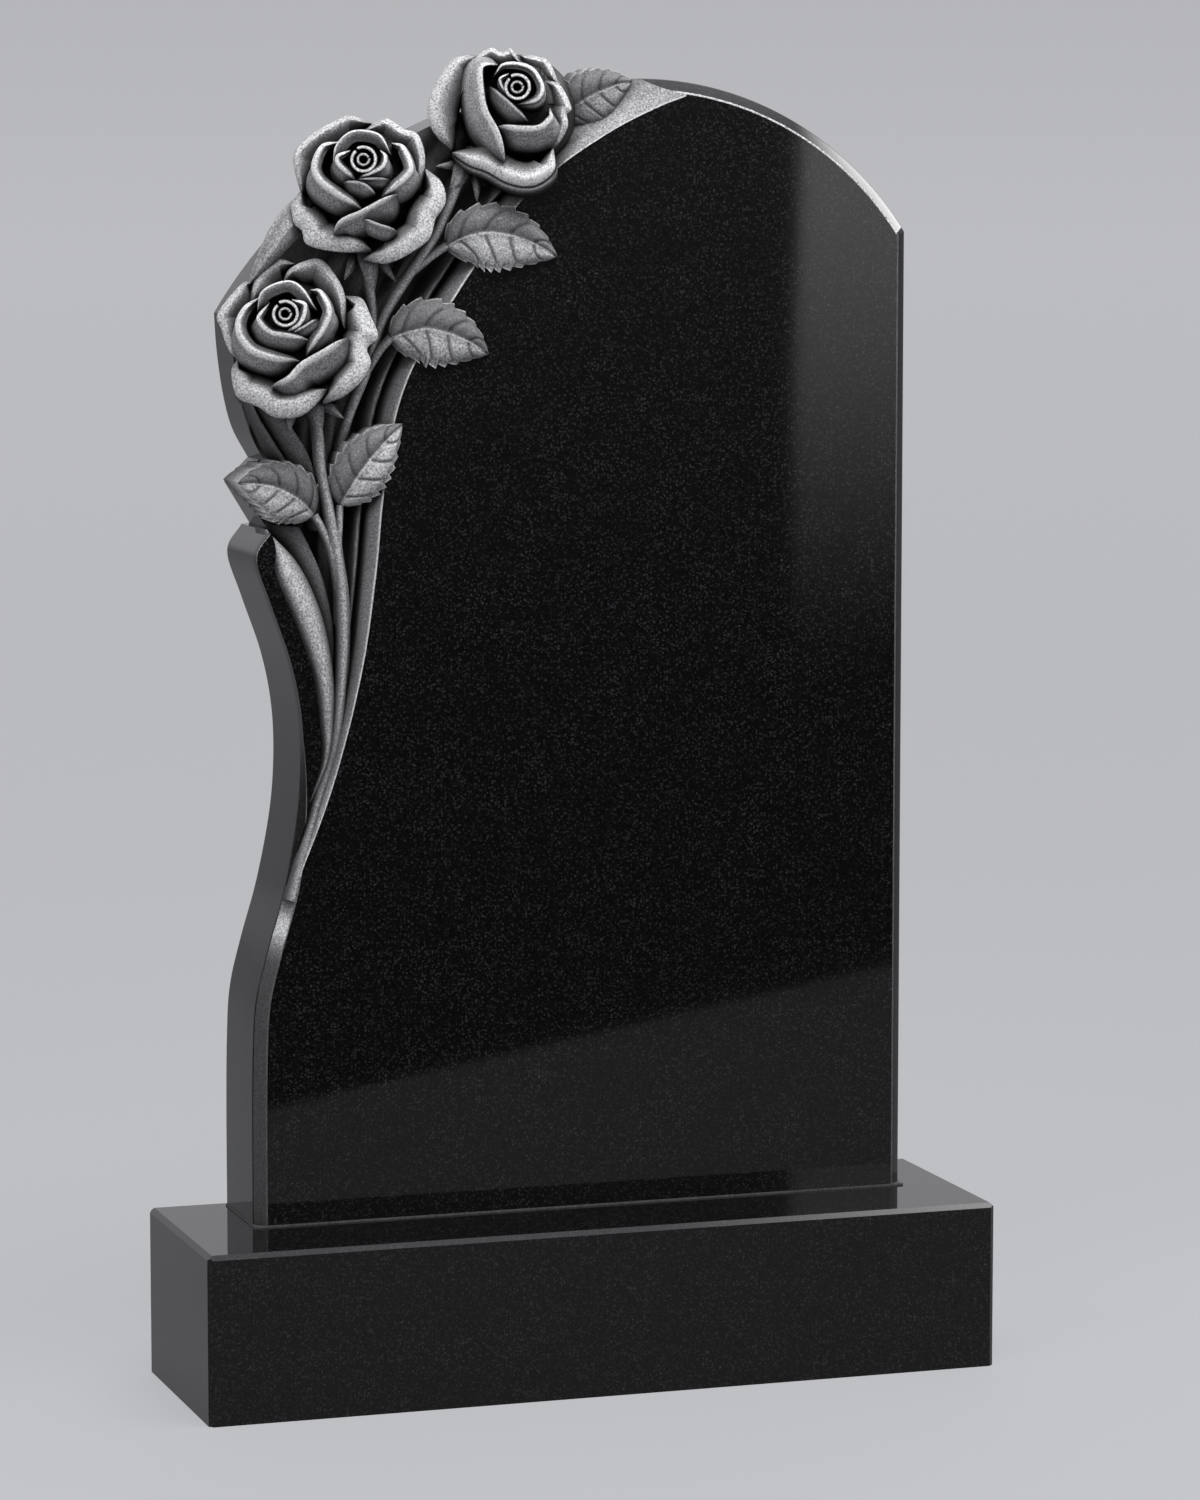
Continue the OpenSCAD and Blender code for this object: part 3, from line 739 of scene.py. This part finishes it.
def heart(name, centre, radius, half, start, grey_and_painted_light):
    """One rolled lip of a rose's heart: it winds nearly once round the middle and opens a
    little. Its section is round above and reaches far down into the core. Its upper half
    carries a painted highlight, the rest a painted dark grey."""
    winding = np.linspace(0, 1.92 * np.pi, 48)
    lip_height, lip_rise, lip_foot = 35, 1.2, 29
    around = np.stack([np.cos(winding + start), np.sin(winding + start)], 1)
    path = (radius * (0.95 + 0.02 * winding))[:, None] * around
    side = path / np.linalg.norm(path, axis=1)[:, None]
    turn = np.linspace(0, 2 * np.pi, 12, endpoint=False)
    reach = np.where(np.sin(turn) > 0, lip_rise, lip_foot)
    out = lip_height - 0.15 * radius + reach * np.sin(turn)
    flat = path[:, None] + side[:, None] * (half * np.cos(turn))[None, :, None]
    rings = rose_rings(centre, flat, out)
    # Painted highlight on the upper half of the section.
    shade = 0.12 + grey_and_painted_light * np.clip(np.sin(turn), 0, 1)
    return swept(name, rings, np.broadcast_to(shade, rings.shape[:2]))


def rose_core(name, centre):
    """The solid middle of a rose: a dome whose radius at a share s of its height is
    R sqrt(1 - s^3). It is painted nearly black, as shade under the petals; only its foot,
    outside the petals, is painted a paler grey."""
    widest, height, below_heart = 50, 48, 14
    up = np.linspace(0, 1, 12)[:, None]
    turn = np.linspace(0, 2 * np.pi, 48, endpoint=False)
    radius = widest * np.sqrt(np.clip(1 - up ** 3, 0.0005, 1))
    ring = np.stack(np.broadcast_arrays(radius * np.cos(turn), radius * np.sin(turn) - below_heart,
                                        height * up - rose_foot), -1)
    # Painted nearly black, as shade under the petals, and a paler grey at the foot.
    grey_and_painted_light = np.where(up < 0.2, 0.2, 0.03) * np.ones(len(turn))
    return swept(name, rose_point(centre, ring), grey_and_painted_light)


# ---------------------------------------------------------------- leaves, stems and sepals

# Leaves: [points along the midrib, half widths above and below it, thickness under it,
# painted light of the halves above and below it, one half lit and the other in painted shade]
leaves = [
    ([(63, 615, -6), (46, 630, 1), (26, 640, 3), (10, 643, 0), (-4, 644, -6)],
     27, 28, 50, 0.3, 0.7),
    ([(86, 623, -8), (92, 636, 0), (103, 654, 5), (118, 672, 6), (139, 692, 2)],
     26, 28, 26, 0.35, 0.75),
    ([(130, 766, 0), (156, 773, 8), (175, 770, 10), (196, 762, 9), (216, 751, 4)],
     28, 34, 12, 0.3, 0.6),
    ([(180, 844, 0), (201, 853, 8), (224, 854, 10), (250, 847, 9), (278, 834, 4)],
     27, 35, 12, 0.35, 0.7),
    ([(286, 953, -14), (308, 969, -4), (328, 978, -3), (350, 984, -8)],
     24, 29, 30, 0.3, 0.5)]

# Stems and leaf stalks: [radius, points from the top down]
stalks = [
    (5.5, [(50, 716, -28), (65, 696, -12), (69, 654, -8), (74, 628, -8), (80, 593, -8), (86, 556, -9),
           (88, 513, -10), (87, 473, -12), (83, 428, -13), (76, 400, -13), (65, 370, -11), (53, 331, -8),
           (38, 284, -4)]),
    (5.0, [(212, 925, -30), (191, 891, -12), (173, 854, -8), (148, 819, -8), (133, 795, -9),
           (122, 773, -11), (111, 735, -15), (95, 692, -20), (85, 640, -24), (86, 590, -20),
           (92, 540, -18), (92, 480, -20), (84, 420, -18)]),
    (4.5, [(110, 850, -32), (111, 830, -20), (115, 807, -14), (117, 784, -12), (118, 750, -14)]),
    (4.0, [(63, 615, -8), (70, 603, -8), (77, 586, -8), (83, 560, -9), (87, 525, -12)]),
    (4.0, [(86, 623, -10), (85, 605, -9), (84, 588, -9), (85, 560, -11), (86, 520, -15)]),
    (4.0, [(131, 766, -2), (122, 755, -7), (113, 738, -14)]),
    (4.0, [(181, 844, -3), (167, 834, -6), (148, 818, -10)])]


def leaf(name, spine, upper, lower, under, upper_painted_light, lower_painted_light):
    """A leaf is a grid along its midrib and across it. Its half width is W t^0.6 (1-t)^0.9,
    over the greatest value of that product, with teeth at the margin. Each half arches up
    from the midrib and falls to the margin, less so where it is narrow, and side veins sweep
    out from the midrib as grooves. Its colour is painted light and shade: one half lighter
    than the other, each half lighter on its crest, painted shade in the vein grooves, and
    painted highlights on the margin and the midrib."""
    tooth_count, tooth_depth = 9, 0.15
    vein_count, vein_width, vein_depth = 4.6, 0.075, 1.5
    arched, fallen, rib_height, lip_height = 3.2, 5.5, 1.4, 1.2
    greatest, narrow_half, thick = 0.364, 14, 20

    rib = by_length(spine, 1.25)
    t = np.linspace(0, 1, len(rib))[:, None]
    along = headings(rib[:, :2])
    side = np.stack([-along[:, 1], along[:, 0]], 1)
    run, rise = side.sum(0)
    side *= np.sign(rise) if abs(rise) > abs(run) else -np.sign(run)
    q = np.linspace(-1, 1, 37)[None, :]
    size = np.abs(q)

    tooth = 1 - (t * tooth_count + 0.1 * size) % 1
    teeth = 1 - tooth_depth * tooth * ease((size - 0.6) / 0.4) * ease(t / 0.15)
    inside = np.clip(t, 0.002, 0.9985)
    widest = np.where(q > 0, upper, lower)
    half = widest * inside ** 0.6 * (1 - inside) ** 0.9 / greatest * teeth
    from_vein = (t * vein_count - size ** 1.5) % 1 - 0.5
    vein = np.exp(-(from_vein / vein_width) ** 2) * ease(size / 0.1)
    vein = vein * (1 - ease((size - 0.6) / 0.35))

    arch_up = np.sin(np.pi * size ** 0.8) * arched - fallen * size ** 2
    ridge = rib_height * np.exp(-(size / 0.05) ** 2)
    margin = lip_height * ease((size - 0.86) / 0.14)
    height = (arch_up + margin) * np.minimum(1, half / narrow_half) + ridge - vein_depth * vein
    middle = rib[:, None, :2]
    flat = middle + side[:, None] * (q * half)[..., None]
    front = np.concatenate([flat, (rib[:, None, 2] + height)[..., None]], 2)
    back = front.copy()
    back[..., :2] = middle + (flat - middle) * (0.97 if under > thick else 0.9)
    back[..., 2] = np.minimum(front[..., 2] - 4, rib[:, None, 2] - under)

    # Painted light: one half lighter than the other, and each half lighter on its crest.
    grey_and_painted_light = np.where(q > 0, upper_painted_light, lower_painted_light) * (0.75 + 0.35 * np.sin(np.pi * size))
    # Painted highlights on the margin and the midrib.
    margin_painted_highlight = 0.5 * np.exp(-((size - 1) / 0.04) ** 2)
    rib_painted_highlight = 0.3 * np.exp(-(size / 0.04) ** 2)
    # Painted shade in the vein grooves, with the painted highlights added.
    grey_and_painted_light = grey_and_painted_light * (1 - 0.5 * vein) + margin_painted_highlight + rib_painted_highlight
    return thick_sheet(name, front, back, grey_and_painted_light, back_painted_shade=0.12)


def stalk(name, radius, points):
    """A round stem along its points, with a painted highlight along its front."""
    path = by_length(points, 3.0)
    side, front = side_and_front(path)
    turn = np.linspace(0, 2 * np.pi, 16, endpoint=False)
    sideways, forwards = np.cos(turn)[:, None], np.sin(turn)[:, None]
    rings = path[:, None] + radius * (sideways * side[:, None] + forwards * front[:, None])
    # Painted highlight along the front of the stem.
    shade = 0.1 + 0.55 * np.clip(np.sin(turn - 0.35), 0, 1) ** 2
    return swept(name, rings, np.broadcast_to(shade, rings.shape[:2]))


# Sepals and the widened heads of the stems: [half width, points from base to tip]
spears = [
    (13, [(72, 884, -30), (42, 858, -14), (10, 812, -18)]),
    (5.0, [(52, 712, -24), (47, 703, -18), (43, 688, -10)]),
    (4.5, [(70, 716, -24), (76, 708, -16), (90, 697, -8)]),
    (7.5, [(64, 722, -22), (67, 706, -13), (70, 684, -9)]),
    (4.0, [(106, 836, -28), (100, 826, -18), (92, 815, -10)]),
    (8.0, [(113, 842, -24), (115, 826, -13), (118, 804, -11)]),
    (4.0, [(122, 840, -26), (129, 827, -17), (138, 813, -11)]),
    (4.0, [(206, 915, -26), (192, 912, -16), (174, 911, -10)]),
    (7.5, [(200, 916, -22), (195, 903, -10), (186, 886, -12)]),
    (3.5, [(210, 906, -22), (211, 894, -14), (211, 880, -12)])]


def spear(name, half, points):
    """A pointed sepal: round sections along its points, whose radius is W sin(pi t^0.62)^0.8
    and which are flatter than wide, with a ridge down the front. Its front carries a painted
    highlight, and each of its two side edges a thin painted highlight."""
    grey_and_painted_light, edge_painted_highlight = 0.62, 0.25
    path = by_length(points, 1.0)
    t = np.linspace(0.02, 1, len(path))[:, None]
    radius = 0.3 + half * np.sin(np.pi * np.clip(t, 0, 0.995) ** 0.62) ** 0.8
    side, front = side_and_front(path)
    turn = np.linspace(0, 2 * np.pi, 16, endpoint=False)
    lift = 0.55 * np.sin(turn) + 0.25 * np.clip(np.sin(turn), 0, 1) ** 6
    sideways, forwards = radius * np.cos(turn), radius * lift
    rings = path[:, None] + sideways[..., None] * side[:, None] + forwards[..., None] * front[:, None]
    # Painted highlight along the front, and a thin painted highlight on each side edge.
    shade = grey_and_painted_light * (0.45 + 0.55 * np.clip(np.sin(turn), 0, 1) ** 2)
    shade = shade + edge_painted_highlight * (np.abs(np.cos(turn)) > 0.9)
    return swept(name, rings, np.broadcast_to(shade, rings.shape[:2]))


# Folds of the ground beside the stems: [strength of their painted light, left edge, right edge],
# each [across, up, out]
folds = [
    (0.34, [(30, 606, -34), (42, 575, -34), (56, 545, -34), (67, 512, -34), (75, 478, -32),
            (76, 440, -26)],
     [(54, 604, -22), (69, 572, -20), (77, 547, -20), (83, 515, -20), (83, 478, -20),
      (80, 438, -20)]),
    (0.40, [(4, 716, -40), (20, 692, -38), (40, 664, -36), (57, 634, -36), (64, 600, -36)],
     [(30, 716, -22), (46, 692, -22), (62, 666, -22), (72, 634, -24), (76, 600, -30)]),
    (0.30, [(8, 718, -38), (13, 697, -36), (24, 674, -34), (36, 655, -34)],
     [(12, 720, -28), (19, 700, -24), (31, 680, -24), (43, 662, -26)]),
    (0.36, [(78, 708, -34), (75, 680, -34), (73, 650, -34)],
     [(92, 708, -30), (87, 680, -26), (82, 650, -32)])]


def fold(name, grey_and_painted_light, left, right):
    """A fold of the ground: a sheet between its two edges that swells forward between them,
    with painted light that grows towards its right edge."""
    swell, deep_in_stone = 5, -48
    left, right = by_knot(left)[:, None], by_knot(right)[:, None]
    c = np.linspace(0, 1, 18)
    front = left + (right - left) * c[:, None]
    front[..., 2] += swell * np.sin(np.pi * c) ** 0.8
    back = front.copy()
    back[..., 2] = deep_in_stone
    # Painted light that grows towards the right edge.
    shade = grey_and_painted_light * (0.25 + 0.95 * c ** 1.3) * np.ones((len(left), 1))
    return thick_sheet(name, front, back, shade)


# The blade's two edges, across and up, from its top down
blade_left = [(20, 604), (25, 566), (40, 532), (51, 504), (61, 472), (65, 436), (67, 405), (55, 371)]
blade_right = [(22, 603), (47, 577), (63, 548), (74, 516), (80, 482), (81, 450), (76, 404), (58, 365)]


def blade():
    """The long blade that rises beside the stems: a sheet between its two edges, rounded
    across, with its crown 7 mm above its edges. A painted highlight runs along its crown, and
    it is darker towards its foot."""
    crown_out, crown_over_edges, deep_in_stone = -4, 7, -42
    left, right = by_knot(blade_left, 10)[:, None], by_knot(blade_right, 10)[:, None]
    c = np.linspace(0, 1, 22)
    flat = left + (right - left) * c[:, None]
    fall = 1 - np.sin(np.pi * c) ** 0.7
    out = crown_out - crown_over_edges * fall * np.ones((len(left), 1))
    front = np.concatenate([flat, out[..., None]], 2)
    back = front.copy()
    back[..., 2] = deep_in_stone
    # Painted highlight along the crown, darker towards the foot.
    grey_and_painted_light = (0.25 + 0.6 * np.sin(np.pi * c) ** 0.8) * np.linspace(1, 0.55, len(left))[:, None]
    return thick_sheet("blade", front, back, grey_and_painted_light)


# ---------------------------------------------------------------- putting it together

def combine(body, others, operation):
    """The body joined with, or cut by, the other closed solids, as one closed surface."""
    for other in others:
        modifier = body.modifiers.new(other.name, "BOOLEAN")
        modifier.operation = operation
        modifier.solver = "MANIFOLD"
        modifier.object = other
    evaluated = body.evaluated_get(bpy.context.evaluated_depsgraph_get())
    mesh = bpy.data.meshes.new_from_object(evaluated)
    body.modifiers.clear()
    body.data = mesh
    for other in others:
        bpy.data.objects.remove(other)


def edge_ends(mesh):
    """The two point numbers of every edge, as two arrays."""
    pairs = np.empty(2 * len(mesh.edges), np.int32)
    mesh.edges.foreach_get("vertices", pairs)
    return pairs.reshape(-1, 2).T


def keep_largest_shell(mesh):
    """Leaves only the largest connected surface, so that no closed pocket stays inside it.
    Each point takes the lowest number among its neighbours until nothing changes."""
    a, b = edge_ends(mesh)
    label, before = np.arange(len(mesh.vertices)), None
    while not np.array_equal(label, before):
        before, lowest = label, np.minimum(label[a], label[b])
        label = label.copy()
        np.minimum.at(label, a, lowest)
        np.minimum.at(label, b, lowest)
        label = label[label]
    work = bmesh.new()
    work.from_mesh(mesh)
    work.verts.ensure_lookup_table()
    pockets = np.flatnonzero(label != np.argmax(np.bincount(label)))
    bmesh.ops.delete(work, geom=[work.verts[i] for i in pockets], context="VERTS")
    work.to_mesh(mesh)
    work.free()


def settle_tone(mesh):
    """Takes the offset off the grey and painted light, and gives each new point on a seam,
    which has none, the mean of its neighbours that have one."""
    grey_and_painted_light = np.empty(len(mesh.vertices))
    mesh.attributes["grey_and_painted_light"].data.foreach_get("value", grey_and_painted_light)
    a, b = edge_ends(mesh)
    for _ in range(4):
        known = (grey_and_painted_light >= tone_offset / 2).astype(float)
        total, count = np.zeros(len(grey_and_painted_light)), np.zeros(len(grey_and_painted_light))
        for here, there in ((a, b), (b, a)):
            np.add.at(total, here, grey_and_painted_light[there] * known[there])
            np.add.at(count, here, known[there])
        new_point = (known == 0) & (count > 0)
        grey_and_painted_light = np.where(new_point, total / np.maximum(count, 1), grey_and_painted_light)
    mesh.attributes["grey_and_painted_light"].data.foreach_set("value", np.maximum(grey_and_painted_light - tone_offset, 0))


def build_tablet():
    """The whole tablet as one closed surface."""
    body = slab()
    combine(body, [ground_cutter()], "DIFFERENCE")
    parts = [blade(), foot_bed()]
    for r, (centre, petals) in enumerate(roses):
        parts += [rose_core(f"core_{r}", centre)]
        parts += [heart(f"heart_{r}_{k}", centre, *lip) for k, lip in enumerate(heart_lips)]
        parts += [petal(f"petal_{r}_{k}", centre, *sizes) for k, sizes in enumerate(petals)]
    makers = {"leaf": (leaf, leaves), "stalk": (stalk, stalks),
              "sepal": (spear, spears), "fold": (fold, folds)}
    for name, (maker, table) in makers.items():
        parts += [maker(f"{name}_{k}", *sizes) for k, sizes in enumerate(table)]
    combine(body, parts, "UNION")
    keep_largest_shell(body.data)
    settle_tone(body.data)
    body.name = "carved_tablet"
    body.data.shade_smooth()
    body.data.set_sharp_from_angle(angle=radians(34))
    flat_faces = body.modifiers.new("flat_faces", "WEIGHTED_NORMAL")
    flat_faces.keep_sharp = True
    return body


add_camera()
add_studio()
tablet = build_tablet()
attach(tablet, "root")
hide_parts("tablet")

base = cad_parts["base"]
for slot in base.material_slots:
    slot.link = "OBJECT"
    slot.material = polished
